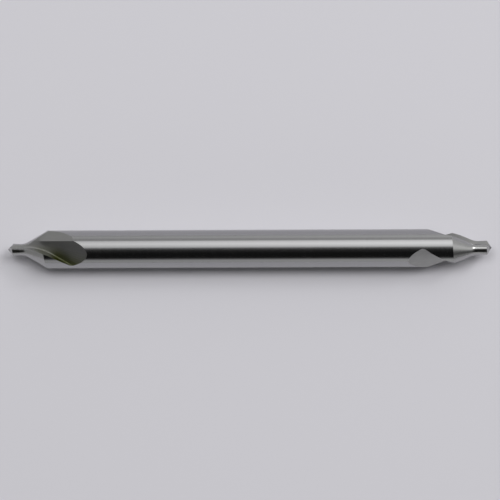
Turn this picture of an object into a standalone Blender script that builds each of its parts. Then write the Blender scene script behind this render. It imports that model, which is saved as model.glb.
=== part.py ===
"""Centre drill: a double-ended 60 degree combined drill and countersink, ground from one steel blank.

Units are metres, +Z up. The tool lies along X with its middle at the origin.
Each end is worked out in a frame of its own: s runs from the tip along the axis, and an angle round
the tool is counted from +Z towards +Y.
"""
import math
from collections import namedtuple

import bmesh
import bpy
from mathutils import Matrix, Vector

MM = 0.001

# Blank
OVERALL_LENGTH = 101.8 * MM
SHANK_DIAMETER = 8.0 * MM
ROUND_SEGMENTS = 96

# Pilot, its point and the radius at its root
PILOT_DIAMETER = 3.15 * MM
PILOT_ROOT_DIAMETER = 3.0 * MM
FIRST_PILOT_LENGTH = 3.1 * MM
SECOND_PILOT_LENGTH = 3.65 * MM
POINT_ANGLE = math.radians(118)
ROOT_RADIUS = 3.0 * MM
ROOT_STEPS = 4

# Countersink
COUNTERSINK_ANGLE = math.radians(60)

# Relief: how far the surface has dropped where a land ends at its heel
LAND_ANGLE = math.radians(124)
LAND_START = math.radians(4)
POINT_RELIEF = 0.28 * MM
PILOT_RELIEF = 0.70 * MM
FIRST_COUNTERSINK_RELIEF = 1.25 * MM
SECOND_COUNTERSINK_RELIEF = 0.62 * MM
ROOT_RELIEF_SHARE = 0.46

# Flute: the cutting face, straight until a little past the pilot and then swept aside
FACE_OFFSET = 0.50 * MM
FACE_LEAN = math.radians(14)
FACE_PAST_PILOT = 1.0 * MM
FACE_SWEEP_RADIUS = 11.0 * MM
FACE_SWEEP_ANGLE = math.radians(28)
CORNER_RADIUS = 0.32 * MM

# Flute: the floor behind it, which rises gently and then runs out past the countersink.
# The second end's floor runs out sooner along its ridge and lies deeper beside the cutting face.
WEB_AT_TIP = 0.56 * MM
WEB_TAPER = math.radians(4.5)
RIDGE_OFFSET = 1.75 * MM
FIRST_RIDGE_PAST_SHOULDER = 6.6 * MM
SECOND_RIDGE_PAST_SHOULDER = 5.5 * MM
RUNOUT_ANGLE = math.radians(21)
FIRST_FLOOR_TILT = math.radians(16)
SECOND_FLOOR_TILT = math.radians(24.5)
HEEL_TILT = math.radians(24)
FLOOR_BLEND = 0.30 * MM

# How the second end is turned round the axis from the first, and how many flutes an end has
END_ROLL = math.radians(66.5)
FLUTES = 2

# The two ends are ground one after the other, so a few of their sizes differ
End = namedtuple("End", "second pilot_length relief ridge_past_shoulder floor_tilt")
FIRST_END = End(
    False, FIRST_PILOT_LENGTH, FIRST_COUNTERSINK_RELIEF, FIRST_RIDGE_PAST_SHOULDER, FIRST_FLOOR_TILT)
SECOND_END = End(
    True, SECOND_PILOT_LENGTH, SECOND_COUNTERSINK_RELIEF, SECOND_RIDGE_PAST_SHOULDER, SECOND_FLOOR_TILT)

# Cutter mesh
CUTTER_REACH = 2.5 * MM
CUTTER_STEP = 0.30 * MM
CORNER_STEPS = 4
FLOOR_STEPS = 4
HEEL_STEPS = 2


def clear_scene():
    """Start from an empty scene."""
    for obj in list(bpy.data.objects):
        bpy.data.objects.remove(obj, do_unlink=True)


def ground_steel():
    """Bright ground high-speed steel."""
    material = bpy.data.materials.new("ground_steel")
    material.use_nodes = True
    shader = material.node_tree.nodes["Principled BSDF"]
    shader.inputs["Base Color"].default_value = (0.53, 0.53, 0.52, 1.0)
    shader.inputs["Metallic"].default_value = 1.0
    shader.inputs["Roughness"].default_value = 0.24
    return material


def shoulder(end):
    """Distance from the tip to where the countersink meets the shank, at a cutting edge."""
    cone = (SHANK_DIAMETER - PILOT_ROOT_DIAMETER) / 2 / math.tan(COUNTERSINK_ANGLE / 2)
    return end.pilot_length + cone


def relief_share(angle):
    """0 at a cutting edge, 1 at the heel of its land, and back to 0 across the flute's gap."""
    pitch = 2 * math.pi / FLUTES
    behind = (LAND_START - angle) % pitch
    if behind < LAND_ANGLE:
        return behind / LAND_ANGLE
    return (pitch - behind) / (pitch - LAND_ANGLE)


def root_arc(end):
    """Points (s, radius) of the arc that leads from the pilot into the countersink."""
    half = COUNTERSINK_ANGLE / 2
    start = end.pilot_length - ROOT_RADIUS * math.tan(half / 2)
    points = []
    for step in range(ROOT_STEPS + 1):
        turn = half * step / ROOT_STEPS
        rise = ROOT_RADIUS * (1 - math.cos(turn))
        points.append((start + ROOT_RADIUS * math.sin(turn), PILOT_ROOT_DIAMETER / 2 + rise))
    return points


def end_profile(end):
    """Rings from the point's rim to the shank, as (s, radius, axial relief, radial relief)."""
    point = PILOT_DIAMETER / 2 / math.tan(POINT_ANGLE / 2)
    rings = [(point, PILOT_DIAMETER / 2, POINT_RELIEF, PILOT_RELIEF)]
    rings += [(s, radius, end.relief * ROOT_RELIEF_SHARE, PILOT_RELIEF) for s, radius in root_arc(end)]
    rings.append((shoulder(end), SHANK_DIAMETER / 2, end.relief, 0.0))
    return rings


def end_angle(angle, end):
    """The angle of the whole tool, seen in an end's own frame."""
    return -(angle + END_ROLL) if end.second else angle


def add_ring(bm, ring, end):
    """One relieved ring of the blank: a cone drops evenly behind its edge, a round land more and more."""
    s, radius, axial, radial = ring
    verts = []
    for step in range(ROUND_SEGMENTS):
        angle = 2 * math.pi * step / ROUND_SEGMENTS
        share = relief_share(end_angle(angle, end))
        x = OVERALL_LENGTH / 2 - s - axial * share
        r = radius - radial * share**2
        verts.append(bm.verts.new((x if end.second else -x, r * math.sin(angle), r * math.cos(angle))))
    return verts


def bridge(bm, first, second):
    """Quads between two rings of one count."""
    for i, vert in enumerate(first):
        j = (i + 1) % len(first)
        bm.faces.new((vert, first[j], second[j], second[i]))


def fan(bm, tip, ring):
    """Triangles from the tip to a ring."""
    for i, vert in enumerate(ring):
        bm.faces.new((tip, vert, ring[(i + 1) % len(ring)]))


def finish(bm, name):
    """Turn a bmesh into an object whose faces point outwards."""
    bmesh.ops.recalc_face_normals(bm, faces=bm.faces)
    mesh = bpy.data.meshes.new(name)
    bm.to_mesh(mesh)
    bm.free()
    obj = bpy.data.objects.new(name, mesh)
    bpy.context.collection.objects.link(obj)
    return obj


def blank():
    """The turned and relieved blank, before its flutes are ground."""
    bm = bmesh.new()
    first = [add_ring(bm, ring, FIRST_END) for ring in end_profile(FIRST_END)]
    second = [add_ring(bm, ring, SECOND_END) for ring in reversed(end_profile(SECOND_END))]
    rings = first + second
    for one, two in zip(rings, rings[1:]):
        bridge(bm, one, two)
    fan(bm, bm.verts.new((-OVERALL_LENGTH / 2, 0, 0)), rings[0])
    fan(bm, bm.verts.new((OVERALL_LENGTH / 2, 0, 0)), rings[-1])
    return finish(bm, "centre_drill")


def face_line(s, end):
    """Where the cutting face stands at s, level with the axis: straight, then swept aside."""
    past = s - end.pilot_length - FACE_PAST_PILOT
    bend = FACE_SWEEP_RADIUS * math.sin(FACE_SWEEP_ANGLE)
    if past <= 0:
        return FACE_OFFSET
    if past < bend:
        return FACE_OFFSET - FACE_SWEEP_RADIUS + math.sqrt(FACE_SWEEP_RADIUS**2 - past**2)
    drop = FACE_SWEEP_RADIUS * (1 - math.cos(FACE_SWEEP_ANGLE))
    return FACE_OFFSET - drop - (past - bend) * math.tan(FACE_SWEEP_ANGLE)


def ridge_exit(end):
    """Distance from the tip to where the ridge between floor and heel flat leaves the shank."""
    return shoulder(end) + end.ridge_past_shoulder


def ridge_height(s, end):
    """Height of that ridge above the axis at s."""
    at_exit = math.sqrt((SHANK_DIAMETER / 2)**2 - RIDGE_OFFSET**2)
    return at_exit - (ridge_exit(end) - s) * math.tan(RUNOUT_ANGLE)


def floor_height(s, y, end):
    """Floor of the flute at s: the web in front, blended into the runout and the heel flat."""
    web = WEB_AT_TIP / 2 + s * math.tan(WEB_TAPER)
    tilt = end.floor_tilt if y < RIDGE_OFFSET else HEEL_TILT
    runout = ridge_height(s, end) - abs(y - RIDGE_OFFSET) * math.tan(tilt)
    return (web + runout + math.hypot(web - runout, FLOOR_BLEND)) / 2


def face_point(s, z, end):
    """The cutting face at s and height z."""
    return Vector((face_line(s, end) - z * math.tan(FACE_LEAN), z))


def flute_section(s, reach, end):
    """Closed outline of the flute at s, in (y, z): face, corner, floor, ridge and heel flat."""
    outline = [face_point(s, reach, end)]
    root = face_point(s, floor_height(s, face_line(s, end), end), end)
    rise = Vector((-math.sin(FACE_LEAN), math.cos(FACE_LEAN)))
    high = root + rise * CORNER_RADIUS
    beyond = root.x + CORNER_RADIUS
    low = Vector((beyond, floor_height(s, beyond, end)))
    for step in range(CORNER_STEPS + 1):
        t = step / CORNER_STEPS
        outline.append(high * (1 - t)**2 + root * 2 * t * (1 - t) + low * t**2)
    for step in range(1, FLOOR_STEPS + 1):
        y = beyond + (RIDGE_OFFSET - beyond) * step / FLOOR_STEPS
        outline.append(Vector((y, floor_height(s, y, end))))
    for step in range(1, HEEL_STEPS + 1):
        y = RIDGE_OFFSET + (reach - RIDGE_OFFSET) * step / HEEL_STEPS
        outline.append(Vector((y, floor_height(s, y, end))))
    outline.append(Vector((reach, reach)))
    return outline


def add_flute(bm, place, end):
    """The space that one pass of the grinding wheel clears, lofted through its sections."""
    reach = SHANK_DIAMETER / 2 + CUTTER_REACH
    first = -CUTTER_REACH
    last = ridge_exit(end) + reach
    count = math.ceil((last - first) / CUTTER_STEP)
    rings = []
    for step in range(count + 1):
        s = first + (last - first) * step / count
        top = max(reach, ridge_height(s, end) + CUTTER_REACH)
        outline = flute_section(s, top, end)
        x = s - OVERALL_LENGTH / 2
        rings.append([bm.verts.new(place @ Vector((x, p.x, p.y))) for p in outline])
    for one, two in zip(rings, rings[1:]):
        bridge(bm, one, two)
    bm.faces.new(rings[0])
    bm.faces.new(rings[-1])


def flute_cutter(name, end):
    """Both flutes of one end, as a cutter that isn't part of the tool."""
    bm = bmesh.new()
    turn = Matrix()
    if end.second:
        turn = Matrix.Rotation(END_ROLL, 4, "X") @ Matrix.Rotation(math.pi, 4, "Z")
    for flute in range(FLUTES):
        add_flute(bm, turn @ Matrix.Rotation(2 * math.pi * flute / FLUTES, 4, "X"), end)
    cutter = finish(bm, name)
    cutter.hide_render = True
    cutter.display_type = "WIRE"
    return cutter


def grind_flutes(tool, cutter):
    """Cut the flutes out of the blank."""
    modifier = tool.modifiers.new(cutter.name, "BOOLEAN")
    modifier.operation = "DIFFERENCE"
    modifier.solver = "EXACT"
    modifier.object = cutter


def main():
    clear_scene()
    tool = blank()
    tool.data.materials.append(ground_steel())
    tool.data.shade_smooth()
    tool.data.set_sharp_from_angle(angle=math.radians(20))
    grind_flutes(tool, flute_cutter("flutes_first_end", FIRST_END))
    grind_flutes(tool, flute_cutter("flutes_second_end", SECOND_END))


main()
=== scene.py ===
import math
from collections import namedtuple

import bmesh
import bpy
from mathutils import Matrix, Vector


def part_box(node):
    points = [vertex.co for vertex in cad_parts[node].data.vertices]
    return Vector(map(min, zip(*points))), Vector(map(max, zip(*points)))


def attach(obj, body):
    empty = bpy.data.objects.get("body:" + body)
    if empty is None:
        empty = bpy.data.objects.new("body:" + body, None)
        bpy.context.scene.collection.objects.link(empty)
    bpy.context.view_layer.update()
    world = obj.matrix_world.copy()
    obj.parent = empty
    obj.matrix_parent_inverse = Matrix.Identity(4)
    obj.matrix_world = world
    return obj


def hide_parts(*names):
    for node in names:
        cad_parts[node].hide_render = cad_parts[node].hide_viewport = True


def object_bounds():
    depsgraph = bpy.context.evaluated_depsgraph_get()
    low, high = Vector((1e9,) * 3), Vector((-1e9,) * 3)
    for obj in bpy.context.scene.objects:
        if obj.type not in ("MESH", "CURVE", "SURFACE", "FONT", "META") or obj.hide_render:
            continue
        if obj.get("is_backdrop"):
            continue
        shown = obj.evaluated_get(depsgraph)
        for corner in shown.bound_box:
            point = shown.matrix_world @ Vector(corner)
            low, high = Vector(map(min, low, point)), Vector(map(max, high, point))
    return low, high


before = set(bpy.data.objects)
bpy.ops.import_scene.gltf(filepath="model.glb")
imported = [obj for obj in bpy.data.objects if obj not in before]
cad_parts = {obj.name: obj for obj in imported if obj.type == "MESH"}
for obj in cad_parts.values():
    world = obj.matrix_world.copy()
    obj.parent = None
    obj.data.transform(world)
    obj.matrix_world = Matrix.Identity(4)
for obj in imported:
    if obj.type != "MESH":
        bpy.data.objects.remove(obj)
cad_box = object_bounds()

# The centre drill: one round bar of hardened high-speed steel, ground to size between rollers. Each end is
# turned down to a short pilot with a point of 118 degrees and a countersink of 60 degrees, and the lands are
# ground back behind their cutting edges. Two flutes are then ground into each end, and nothing is fitted.
MM = 0.001
low, high = (Vector(corner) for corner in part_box("centre_drill"))
LENGTH = high.x - low.x
SHANK_RADIUS = (high.z - low.z) / 2
ROUND_STEPS = 480
CONE_STEPS = 10

PILOT_RADIUS = 1.575 * MM
PILOT_ROOT_RADIUS = 1.5 * MM
POINT_ANGLE = math.radians(118)
COUNTERSINK_ANGLE = math.radians(60)
ROOT_ARC_RADIUS = 3.0 * MM
ROOT_ARC_STEPS = 8

LAND_ANGLE = math.radians(124)
LAND_START = math.radians(4)
POINT_RELIEF = 0.28 * MM
PILOT_RELIEF = 0.70 * MM
ROOT_RELIEF_SHARE = 0.46
FLUTES = 2
FLUTE_PITCH = 2 * math.pi / FLUTES
SECOND_END_ROLL = math.radians(66.5)

# What differs between the two ends, which are ground one after the other
End = namedtuple("End", "second pilot_length relief ridge_past_shoulder floor_tilt")
FIRST_END = End(
    second=False, pilot_length=3.10 * MM, relief=1.25 * MM,
    ridge_past_shoulder=6.6 * MM, floor_tilt=math.radians(16),
)
SECOND_END = End(
    second=True, pilot_length=3.65 * MM, relief=0.62 * MM,
    ridge_past_shoulder=5.5 * MM, floor_tilt=math.radians(24.5),
)

# The finish that each face is ground to
SHANK, LAND, FLUTE = 0, 1, 2


def shoulder(end):
    """Distance from the tip to where the countersink meets the shank, at a cutting edge."""
    return end.pilot_length + (SHANK_RADIUS - PILOT_ROOT_RADIUS) / math.tan(COUNTERSINK_ANGLE / 2)


def relief_share(angle):
    """0 at a cutting edge, 1 at the heel of its land, and back to 0 across the flute's gap."""
    behind = (LAND_START - angle) % FLUTE_PITCH
    if behind < LAND_ANGLE:
        return behind / LAND_ANGLE
    return (FLUTE_PITCH - behind) / (FLUTE_PITCH - LAND_ANGLE)


def blend(one, other, share):
    """The ring that lies a share of the way from one to the other."""
    return tuple(a + (b - a) * share for a, b in zip(one, other))


def end_rings(end):
    """Rings from the point's rim to the shank, as (s, radius, axial relief, radial relief)."""
    rings = [(PILOT_RADIUS / math.tan(POINT_ANGLE / 2), PILOT_RADIUS, POINT_RELIEF, PILOT_RELIEF)]
    half = COUNTERSINK_ANGLE / 2
    start = end.pilot_length - ROOT_ARC_RADIUS * math.tan(half / 2)
    for step in range(ROOT_ARC_STEPS + 1):
        turn = half * step / ROOT_ARC_STEPS
        radius = PILOT_ROOT_RADIUS + ROOT_ARC_RADIUS * (1 - math.cos(turn))
        s = start + ROOT_ARC_RADIUS * math.sin(turn)
        rings.append((s, radius, end.relief * ROOT_RELIEF_SHARE, PILOT_RELIEF))
    foot, top = rings[-1], (shoulder(end), SHANK_RADIUS, end.relief, 0.0)
    rings += [blend(foot, top, step / CONE_STEPS) for step in range(1, CONE_STEPS + 1)]
    return rings


def add_ring(bm, ring, end):
    """One ring of the blank, ground back behind its cutting edges."""
    s, radius, axial, radial = ring
    verts = []
    for step in range(ROUND_STEPS):
        angle = 2 * math.pi * step / ROUND_STEPS
        share = relief_share(-(angle + SECOND_END_ROLL) if end.second else angle)
        x = LENGTH / 2 - s - axial * share
        r = radius - radial * share**2
        verts.append(bm.verts.new((x if end.second else -x, r * math.sin(angle), r * math.cos(angle))))
    return verts


def bridge(bm, one, other, finish, layer):
    """Quads between two rings of one count, all ground to one finish."""
    made = []
    for i, vert in enumerate(one):
        j = (i + 1) % len(one)
        made.append(bm.faces.new((vert, one[j], other[j], other[i])))
        made[-1][layer] = finish
    return made


def finished_object(bm, name):
    """Turn a bmesh into an object whose faces point outwards."""
    bmesh.ops.recalc_face_normals(bm, faces=bm.faces)
    mesh = bpy.data.meshes.new(name)
    bm.to_mesh(mesh)
    bm.free()
    made = bpy.data.objects.new(name, mesh)
    bpy.context.scene.collection.objects.link(made)
    return made


bm = bmesh.new()
layer = bm.faces.layers.int.new("finish")
first = [add_ring(bm, ring, FIRST_END) for ring in end_rings(FIRST_END)]
second = [add_ring(bm, ring, SECOND_END) for ring in reversed(end_rings(SECOND_END))]
for rings in (first, second):
    for one, other in zip(rings, rings[1:]):
        bridge(bm, one, other, LAND, layer)
bridge(bm, first[-1], second[0], SHANK, layer)
for side, ring in ((-1, first[0]), (1, second[-1])):
    tip = bm.verts.new((side * LENGTH / 2, 0, 0))
    for i, vert in enumerate(ring):
        bm.faces.new((tip, vert, ring[(i + 1) % ROUND_STEPS]))[layer] = LAND
blank = finished_object(bm, "blank")

# A flute has a steep cutting face that starts straight and is swept aside past the pilot. Its floor rises
# with the web, then runs out of the shank in one slope, with a flat towards the heel beyond the ridge.
FACE_OFFSET = 0.50 * MM
FACE_LEAN = math.radians(14)
FACE_PAST_PILOT = 1.0 * MM
FACE_SWEEP_RADIUS = 11.0 * MM
FACE_SWEEP_ANGLE = math.radians(28)
CORNER_RADIUS = 0.32 * MM
WEB_AT_TIP = 0.56 * MM
WEB_TAPER = math.radians(4.5)
RIDGE_OFFSET = 1.75 * MM
RUNOUT_ANGLE = math.radians(21)
HEEL_TILT = math.radians(24)
FLOOR_BLEND = 0.30 * MM
WHEEL_REACH = 2.5 * MM
WHEEL_STEP = 0.10 * MM
CORNER_STEPS = 10
FLOOR_STEPS = 12
HEEL_STEPS = 5


def face_line(s, end):
    """Where the cutting face stands at s, level with the axis: straight, then swept aside."""
    past = s - end.pilot_length - FACE_PAST_PILOT
    bend = FACE_SWEEP_RADIUS * math.sin(FACE_SWEEP_ANGLE)
    if past <= 0:
        return FACE_OFFSET
    if past < bend:
        return FACE_OFFSET - FACE_SWEEP_RADIUS + math.sqrt(FACE_SWEEP_RADIUS**2 - past**2)
    drop = FACE_SWEEP_RADIUS * (1 - math.cos(FACE_SWEEP_ANGLE))
    return FACE_OFFSET - drop - (past - bend) * math.tan(FACE_SWEEP_ANGLE)


def ridge_exit(end):
    """Distance from the tip to where the ridge between floor and heel flat leaves the shank."""
    return shoulder(end) + end.ridge_past_shoulder


def ridge_height(s, end):
    """Height of that ridge above the axis at s."""
    at_exit = math.sqrt(SHANK_RADIUS**2 - RIDGE_OFFSET**2)
    return at_exit - (ridge_exit(end) - s) * math.tan(RUNOUT_ANGLE)


def floor_height(s, y, end):
    """Floor of the flute at s: the web in front, blended into the runout and the heel flat."""
    web = WEB_AT_TIP / 2 + s * math.tan(WEB_TAPER)
    tilt = end.floor_tilt if y < RIDGE_OFFSET else HEEL_TILT
    runout = ridge_height(s, end) - abs(y - RIDGE_OFFSET) * math.tan(tilt)
    return (web + runout + math.hypot(web - runout, FLOOR_BLEND)) / 2


def face_point(s, z, end):
    """The cutting face at s and height z."""
    return Vector((face_line(s, end) - z * math.tan(FACE_LEAN), z))


def flute_outline(s, reach, end):
    """Closed outline of the flute at s, in (y, z): face, corner, floor, ridge and heel flat."""
    outline = [face_point(s, reach, end)]
    root = face_point(s, floor_height(s, face_line(s, end), end), end)
    on_face = root + Vector((-math.sin(FACE_LEAN), math.cos(FACE_LEAN))) * CORNER_RADIUS
    beyond = root.x + CORNER_RADIUS
    on_floor = Vector((beyond, floor_height(s, beyond, end)))
    for step in range(CORNER_STEPS + 1):
        t = step / CORNER_STEPS
        outline.append(on_face * (1 - t)**2 + root * 2 * t * (1 - t) + on_floor * t**2)
    for step in range(1, FLOOR_STEPS + 1):
        y = beyond + (RIDGE_OFFSET - beyond) * step / FLOOR_STEPS
        outline.append(Vector((y, floor_height(s, y, end))))
    for step in range(1, HEEL_STEPS + 1):
        y = RIDGE_OFFSET + (reach - RIDGE_OFFSET) * step / HEEL_STEPS
        outline.append(Vector((y, floor_height(s, y, end))))
    outline.append(Vector((reach, reach)))
    return outline


# How far the painted olive shade and reflection spreads from the corner over the strips of the floor, and
# over how many of them it fades
PAINTED_SHADE_IN_CORNER = 0.8
PAINTED_SHADE_FLOOR_STRIPS = 8
PAINTED_SHADE_FADE_STRIPS = 6


def painted_shade_share(strip):
    """How much painted olive shade a strip of the outline holds: all on the face, less in the corner, fading
    beyond it.
    """
    if strip == 0:
        return 1.0
    strips_left = CORNER_STEPS + PAINTED_SHADE_FLOOR_STRIPS - strip
    return PAINTED_SHADE_IN_CORNER * min(1.0, max(0.0, strips_left / PAINTED_SHADE_FADE_STRIPS))


def wheel_path(name, end):
    """The space that the grinding wheel clears for one flute of an end."""
    bm = bmesh.new()
    layer = bm.faces.layers.int.new("finish")
    # The corner layer holds how much painted olive shade and reflection each face of the flute gets
    corner = bm.faces.layers.float.new("corner")
    place = Matrix()
    if end.second:
        place = Matrix.Rotation(SECOND_END_ROLL, 4, "X") @ Matrix.Rotation(math.pi, 4, "Z")
    reach = SHANK_RADIUS + WHEEL_REACH
    start, stop = -WHEEL_REACH, ridge_exit(end) + reach
    count = math.ceil((stop - start) / WHEEL_STEP)
    rings = []
    for step in range(count + 1):
        s = start + (stop - start) * step / count
        outline = flute_outline(s, max(reach, ridge_height(s, end) + WHEEL_REACH), end)
        rings.append([bm.verts.new(place @ Vector((s - LENGTH / 2, p.x, p.y))) for p in outline])
    for one, other in zip(rings, rings[1:]):
        for strip, face in enumerate(bridge(bm, one, other, FLUTE, layer)):
            face[corner] = painted_shade_share(strip)
    for ring in (rings[0], rings[-1]):
        bm.faces.new(ring)[layer] = FLUTE
    return finished_object(bm, name)


class Value:
    """A socket in a Python expression: each operator adds the Math node that works it out."""

    def __init__(self, tree, socket):
        self.tree = tree
        self.socket = socket

    def maths(self, operation, *others):
        """The Math node of one operation on this socket and others."""
        return self.tree.add("ShaderNodeMath", {"operation": operation}, dict(enumerate((self, *others))))

    def __add__(self, other):
        return self.maths("ADD", other)

    def __sub__(self, other):
        return self.maths("SUBTRACT", other)

    def __mul__(self, other):
        return self.maths("MULTIPLY", other)

    def __truediv__(self, other):
        return self.maths("DIVIDE", other)

    def __rsub__(self, other):
        return self * -1 + other

    __radd__ = __add__
    __rmul__ = __mul__


class Tree:
    """A node tree that is written as calls and expressions."""

    def __init__(self, node_tree):
        self.node_tree = node_tree

    def add(self, kind, settings=None, sockets=None, output=0):
        """One node: its settings first, then the values or links of its sockets."""
        node = self.node_tree.nodes.new(kind)
        for name, setting in (settings or {}).items():
            if name == "stops":
                self.set_stops(node.color_ramp, setting)
            else:
                setattr(node, name, setting)
        for key, value in (sockets or {}).items():
            socket = self.find(node.inputs, key)
            for one in value if isinstance(value, list) else [value]:
                if isinstance(one, Value):
                    self.node_tree.links.new(one.socket, socket)
                else:
                    socket.default_value = one
        if not node.outputs:
            return node
        return Value(self, self.find(node.outputs, output))

    @staticmethod
    def find(sockets, key):
        """A socket by its number, its identifier or its name."""
        if isinstance(key, int):
            return sockets[key]
        return next((s for s in sockets if s.identifier == key), None) or sockets[key]

    @staticmethod
    def set_stops(ramp, stops):
        """The stops of a ramp, as (position, grey)."""
        while len(ramp.elements) > 1:
            ramp.elements.remove(ramp.elements[-1])
        for i, (position, grey) in enumerate(stops):
            stop = ramp.elements[0] if i == 0 else ramp.elements.new(position)
            stop.position = position
            stop.color = (grey, grey, grey, 1.0)

    def mix(self, factor, one, other):
        """Two colours mixed: the first at a factor of 0, the other at 1."""
        sockets = {"Factor_Float": factor, "A_Color": one, "B_Color": other}
        return self.add("ShaderNodeMix", {"data_type": "RGBA"}, sockets, "Result_Color")

    def step(self, value, start, stop):
        """0 before the start, 1 after the stop, smooth in between."""
        sockets = {"Value": value, "From Min": start, "From Max": stop}
        return self.add("ShaderNodeMapRange", {"interpolation_type": "SMOOTHSTEP"}, sockets)

    def stretched_noise(self, stretch, scale, detail, seed):
        """Noise on the piece's own coordinates, drawn out along one or two axes."""
        place = self.add("ShaderNodeTexCoord", output="Object")
        settings = {"operation": "MULTIPLY_ADD"}
        place = self.add("ShaderNodeVectorMath", settings, {0: place, 1: stretch, 2: (seed, seed, seed)})
        values = {"Vector": place, "Scale": scale, "Detail": detail}
        return self.add("ShaderNodeTexNoise", {"noise_dimensions": "3D"}, values, "Fac")


def new_finish(name):
    """An empty material and its tree, for one finish."""
    material = bpy.data.materials.new(name)
    material.use_nodes = True
    material.node_tree.nodes.clear()
    return material, Tree(material.node_tree)


def ground_finish(tree, colour, roughness, height, depth):
    """Ground steel, with its colour, roughness and the height and depth of its grinding marks."""
    normal = tree.add("ShaderNodeBump", sockets={"Height": height, "Distance": depth, "Strength": 1.0})
    sockets = {"Base Color": colour, "Roughness": roughness, "Metallic": 1.0, "Normal": normal}
    shader = tree.add("ShaderNodeBsdfPrincipled", sockets=sockets)
    tree.add("ShaderNodeOutputMaterial", sockets={"Surface": shader})


# The shank is ground between rollers, so its marks run round it, very fine and hardly deeper than the polish
SHANK_LIGHT = (0.415, 0.415, 0.418, 1.0)
SHANK_DARK = (0.378, 0.379, 0.383, 1.0)
SHANK_ROUGHNESS = 0.11
SHANK_MARK_DEPTH = 0.0016 * MM
shank_steel, tree = new_finish("ground_shank")
marks = tree.stretched_noise(stretch=(1.0, 0.01, 0.01), scale=14000.0, detail=3.0, seed=0.0)
bands = tree.stretched_noise(stretch=(1.0, 0.06, 0.06), scale=900.0, detail=3.0, seed=0.3)
rubs = tree.stretched_noise(stretch=(0.12, 1.0, 1.0), scale=420.0, detail=4.0, seed=0.7)
colour = tree.mix(bands * 0.6 + rubs * 0.4, SHANK_DARK, SHANK_LIGHT)
roughness = SHANK_ROUGHNESS + marks * 0.04 + bands * 0.04 + rubs * 0.04
ground_finish(tree, colour, roughness, marks * 0.8 + bands * 0.2, SHANK_MARK_DEPTH)

# The lands of the pilot and countersink are ground back by the side of a wheel, which leaves coarser rings
LAND_LIGHT = (0.440, 0.440, 0.436, 1.0)
LAND_DARK = (0.380, 0.380, 0.376, 1.0)
LAND_ROUGHNESS = 0.14
LAND_MARK_DEPTH = 0.0030 * MM
land_steel, tree = new_finish("relief_ground_land")
marks = tree.stretched_noise(stretch=(1.0, 0.02, 0.02), scale=9000.0, detail=4.0, seed=1.1)
bands = tree.stretched_noise(stretch=(1.0, 0.15, 0.15), scale=1500.0, detail=3.0, seed=1.6)
colour = tree.mix(marks * 0.5 + bands * 0.5, LAND_DARK, LAND_LIGHT)
roughness = LAND_ROUGHNESS + marks * 0.06 + bands * 0.05
ground_finish(tree, colour, roughness, marks * 0.7 + bands * 0.3, LAND_MARK_DEPTH)

# The flutes are ground lengthwise and left as the wheel leaves them. At the first end a dark olive painted
# shade and reflection lies on the cutting face and in its corner, and it is darkest where the flute runs
# out.
FLUTE_LIGHT = (0.420, 0.420, 0.415, 1.0)
FLUTE_DARK = (0.310, 0.310, 0.306, 1.0)
FLUTE_ROUGHNESS = 0.26
FLUTE_MARK_DEPTH = 0.0040 * MM
PAINTED_OLIVE_SHADE = (0.078, 0.088, 0.008, 1.0)
PAINTED_SHADE_STARTS = (4.4 * MM, 7.4 * MM)
PAINTED_SHADE_DEEPENS = (8.4 * MM, 10.6 * MM)
PAINTED_SHADE_ENDS = (20.9 * MM, 50.9 * MM)
flute_steel, tree = new_finish("ground_flute")
marks = tree.stretched_noise(stretch=(0.04, 1.0, 1.0), scale=9000.0, detail=4.0, seed=2.3)
bands = tree.stretched_noise(stretch=(0.10, 1.0, 1.0), scale=1800.0, detail=3.0, seed=2.9)
colour = tree.mix(marks * 0.5 + bands * 0.5, FLUTE_DARK, FLUTE_LIGHT)
place = tree.add("ShaderNodeTexCoord", output="Object")
from_tip = tree.add("ShaderNodeSeparateXYZ", sockets={0: place}, output="X") - low.x
# Painted olive shade and reflection: a dark olive mixed into the first end's flute, strongest on the face
# and in its corner
painted_shade = tree.step(from_tip, *PAINTED_SHADE_STARTS) * 0.45 + tree.step(from_tip, *PAINTED_SHADE_DEEPENS) * 0.55
painted_shade = painted_shade * (1 - tree.step(from_tip, *PAINTED_SHADE_ENDS))
corner = tree.add("ShaderNodeAttribute", {"attribute_name": "corner"}, output="Fac")
colour = tree.mix(painted_shade * corner * (bands * 0.5 + 0.75), colour, PAINTED_OLIVE_SHADE)
roughness = FLUTE_ROUGHNESS + marks * 0.08 + bands * 0.05 + corner * 0.25
ground_finish(tree, colour, roughness, marks * 0.7 + bands * 0.3, FLUTE_MARK_DEPTH)

# The flutes of both ends are set round the axis and taken out of the blank by Geometry Nodes
INPUTS = {
    "Blank": "Geometry", "First Flute": "Object", "Second Flute": "Object", "Flutes": "Int",
    "Shank Steel": "Material", "Land Steel": "Material", "Flute Steel": "Material",
}
group = bpy.data.node_groups.new("grind_flutes", "GeometryNodeTree")
for name, kind in INPUTS.items():
    group.interface.new_socket(name=name, in_out="INPUT", socket_type="NodeSocket" + kind)
group.interface.new_socket(name="Tool", in_out="OUTPUT", socket_type="NodeSocketGeometry")
tree = Tree(group)
given = {name: tree.add("NodeGroupInput", output=name) for name in INPUTS}
points = tree.add("GeometryNodePoints", sockets={"Count": given["Flutes"]})
index = tree.add("GeometryNodeInputIndex")
turn = index * (2 * math.pi) / given["Flutes"]
rotation = tree.add("ShaderNodeCombineXYZ", sockets={"X": turn})
cutters = []
for name in ("First Flute", "Second Flute"):
    path = tree.add("GeometryNodeObjectInfo", sockets={"Object": given[name]}, output="Geometry")
    sockets = {"Points": points, "Instance": path, "Rotation": rotation}
    copies = tree.add("GeometryNodeInstanceOnPoints", sockets=sockets)
    cutters.append(tree.add("GeometryNodeRealizeInstances", sockets={"Geometry": copies}))
settings = {"operation": "DIFFERENCE", "solver": "EXACT"}
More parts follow.
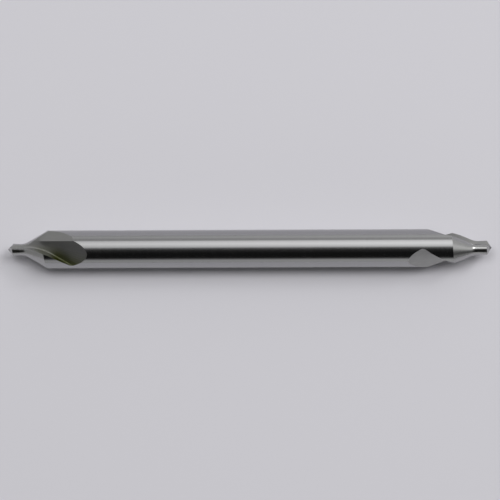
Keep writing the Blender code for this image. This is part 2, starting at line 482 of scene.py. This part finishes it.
tool = tree.add("GeometryNodeMeshBoolean", settings, {"Mesh 1": given["Blank"], "Mesh 2": cutters})
tool = tree.add("GeometryNodeRealizeInstances", sockets={"Geometry": tool})
finish = tree.add("GeometryNodeInputNamedAttribute", {"data_type": "INT"}, {"Name": "finish"})
for number, name in ((SHANK, "Shank Steel"), (LAND, "Land Steel"), (FLUTE, "Flute Steel")):
    settings = {"data_type": "INT", "operation": "EQUAL"}
    chosen = tree.add("FunctionNodeCompare", settings, {"A_INT": finish, "B_INT": number})
    sockets = {"Geometry": tool, "Selection": chosen, "Material": given[name]}
    tool = tree.add("GeometryNodeSetMaterial", sockets=sockets)
tree.add("NodeGroupOutput", sockets={"Tool": tool})

paths = {
    "First Flute": wheel_path("first_flute", FIRST_END),
    "Second Flute": wheel_path("second_flute", SECOND_END),
}
steels = {"Shank Steel": shank_steel, "Land Steel": land_steel, "Flute Steel": flute_steel}
values = {"Flutes": FLUTES, **steels, **paths}
grinding = blank.modifiers.new("grind_flutes", "NODES")
grinding.node_group = group
for item in group.interface.items_tree:
    if item.in_out == "INPUT" and item.name != "Blank":
        grinding[item.identifier] = values[item.name]

SHARP_EDGE = math.radians(14)
depsgraph = bpy.context.evaluated_depsgraph_get()
ground_blank = blank.evaluated_get(depsgraph)
mesh = bpy.data.meshes.new_from_object(ground_blank, preserve_all_data_layers=True, depsgraph=depsgraph)
blank.modifiers.remove(grinding)
mesh.name = "centre_drill_steel"
mesh.shade_smooth()
mesh.set_sharp_from_angle(angle=SHARP_EDGE)
steel_piece = bpy.data.objects.new("centre_drill_steel", mesh)
bpy.context.scene.collection.objects.link(steel_piece)
for helper in (blank, *paths.values()):
    bpy.data.objects.remove(helper, do_unlink=True)
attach(steel_piece, "root")
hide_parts("centre_drill")

# The floor is one plain pale sheet of matt paper with a cool grey tone. The tool lies loose on it, and the
# paper keeps its shadow.
FLOOR_SIZE = 6.0
FLOOR_GAP = 0.02 * MM
FLOOR_COLOUR = (0.600, 0.592, 0.628, 1.0)
bm = bmesh.new()
corners = ((-1, -1), (1, -1), (1, 1), (-1, 1))
level = low.z - FLOOR_GAP
bm.faces.new([bm.verts.new((x * FLOOR_SIZE / 2, y * FLOOR_SIZE / 2, level)) for x, y in corners])
floor = finished_object(bm, "floor")
floor_paper, tree = new_finish("floor_paper")
sockets = {"Base Color": FLOOR_COLOUR, "Roughness": 1.0, "Specular IOR Level": 0.0}
shader = tree.add("ShaderNodeBsdfPrincipled", sockets=sockets)
tree.add("ShaderNodeOutputMaterial", sockets={"Surface": shader})
floor.data.materials.append(floor_paper)
floor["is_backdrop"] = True

# The studio: a long soft panel behind the tool, a dark gap over the camera's side and mid-grey walls.
# Angles are round the tool's axis from straight up, in degrees, and rise towards the back.
ROUND_THE_TOOL = (
    (-72, 0.53), (-66, 0.22), (-58, 0.01), (-25, 0.01), (-6, 0.03), (5, 0.20), (11, 0.98), (30, 1.50),
    (49, 1.16), (53, 0.44), (60, 0.42), (74, 0.69), (95, 0.50),
)
RIGHT_OF_THE_TOOL = ((-74, 0.30), (-57, 0.09), (-40, 0.11), (-15, 0.40), (0, 0.78), (30, 0.95), (63, 0.65))
LEFT_OF_THE_TOOL = ((-72, 0.53), (-60, 0.04), (-30, 0.02), (-18, 0.05), (-7, 0.27), (4, 0.43), (95, 0.50))
ALONG_THE_TOOL = ((-1.0, 0.82), (-0.07, 0.84), (0.0, 1.0), (0.07, 1.13), (1.0, 1.15))
LEFT_WALL = (0.37, 0.37, 0.37, 1.0)
PALE = (0.62, 0.62, 0.64, 1.0)
# Where one light gives way to the next, as the part of a direction that runs along the tool
RIGHT_BEGINS = (0.55, 0.75)
LEFT_BEGINS = (-0.10, -0.20)
WALL_BEGINS = (-0.69, -0.78)


def light_by_angle(tree, turn, levels):
    """Light from each direction round the tool's axis, which the turn gives from 0 to 1."""
    stops = [((degrees + 180) / 360, level) for degrees, level in levels]
    return tree.add("ShaderNodeValToRGB", {"stops": stops}, {"Fac": turn})


world = bpy.data.worlds.new("studio")
bpy.context.scene.world = world
world.use_nodes = True
world.node_tree.nodes.clear()
tree = Tree(world.node_tree)
direction = tree.add("ShaderNodeTexCoord", output="Generated")
parts = {axis: tree.add("ShaderNodeSeparateXYZ", sockets={0: direction}, output=axis) for axis in "XYZ"}
turn = parts["Y"].maths("ARCTAN2", parts["Z"]) / (2 * math.pi) + 0.5
around = light_by_angle(tree, turn, ROUND_THE_TOOL)
left = light_by_angle(tree, turn, LEFT_OF_THE_TOOL)
right = light_by_angle(tree, turn, RIGHT_OF_THE_TOOL)
stops = [((x + 1) / 2, level) for x, level in ALONG_THE_TOOL]
along = tree.add("ShaderNodeValToRGB", {"stops": stops}, {"Fac": parts["X"] / 2 + 0.5})
light = tree.add("ShaderNodeVectorMath", {"operation": "MULTIPLY"}, {0: around, 1: along})
light = tree.mix(tree.step(parts["X"], *RIGHT_BEGINS), light, right)
light = tree.mix(tree.step(parts["X"], *LEFT_BEGINS), light, left)
light = tree.mix(tree.step(parts["X"], *WALL_BEGINS), light, LEFT_WALL)
light = tree.mix(tree.add("ShaderNodeLightPath", output="Is Camera Ray"), light, PALE)
sockets = {"Color": light, "Strength": 1.0}
tree.add("ShaderNodeOutputWorld", sockets={"Surface": tree.add("ShaderNodeBackground", sockets=sockets)})

# Two soft round lamps, a little behind the tool, light the floor and don't show in the steel. A small one
# to the right gives the highlight on the curve between pilot and countersink.
LAMP_DISTANCE = 0.9
Lamp = namedtuple("Lamp", "name x y size watts")
LAMPS = (
    Lamp("lamp_left", x=-0.20, y=0.287, size=0.34, watts=2.00),
    Lamp("lamp_right", x=0.35, y=0.274, size=0.34, watts=2.10),
    Lamp("lamp_small", x=0.57, y=0.49, size=0.19, watts=0.95),
)
for name, x, y, size, watts in LAMPS:
    lamp = bpy.data.lights.new(name, "AREA")
    lamp.shape = "DISK"
    lamp.size = size
    lamp.energy = watts
    stand = bpy.data.objects.new(name, lamp)
    bpy.context.scene.collection.objects.link(stand)
    place = Vector((x, y, math.sqrt(1 - x * x - y * y))) * LAMP_DISTANCE
    stand.location = place
    stand.rotation_euler = place.to_track_quat("Z", "Y").to_euler()
    stand.visible_camera = False
    stand.visible_glossy = name == "lamp_small"

# The camera looks straight down on the tool, which lies a fraction of a degree out of level in the picture
PHOTO_WIDTH = 500
PIXELS_PER_METRE = 4750
TOOL_CENTRE = Vector((249.75, 248.7))
PHOTO_CENTRE = Vector((250, 250))
CAMERA_HEIGHT = 0.70
SENSOR_WIDTH = 36.0
ROLL = math.radians(-0.23)
lens = bpy.data.cameras.new("camera")
lens.sensor_width = SENSOR_WIDTH
lens.lens = SENSOR_WIDTH * CAMERA_HEIGHT / (PHOTO_WIDTH / PIXELS_PER_METRE)
lens.clip_start = 0.01
lens.clip_end = 50.0
camera = bpy.data.objects.new("camera", lens)
bpy.context.scene.collection.objects.link(camera)
aside = (PHOTO_CENTRE - TOOL_CENTRE) / PIXELS_PER_METRE
turn = Matrix.Rotation(ROLL, 3, "Z")
camera.location = turn @ Vector((aside.x, -aside.y, 0)) + Vector((0, 0, CAMERA_HEIGHT))
camera.rotation_euler = (0, 0, ROLL)
bpy.context.scene.camera = camera
bpy.context.scene.view_settings.view_transform = "Standard"

boxes = {"cad": cad_box, "visual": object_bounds()}
boxes = {name: [[float(v) for v in corner] for corner in box] for name, box in boxes.items()}
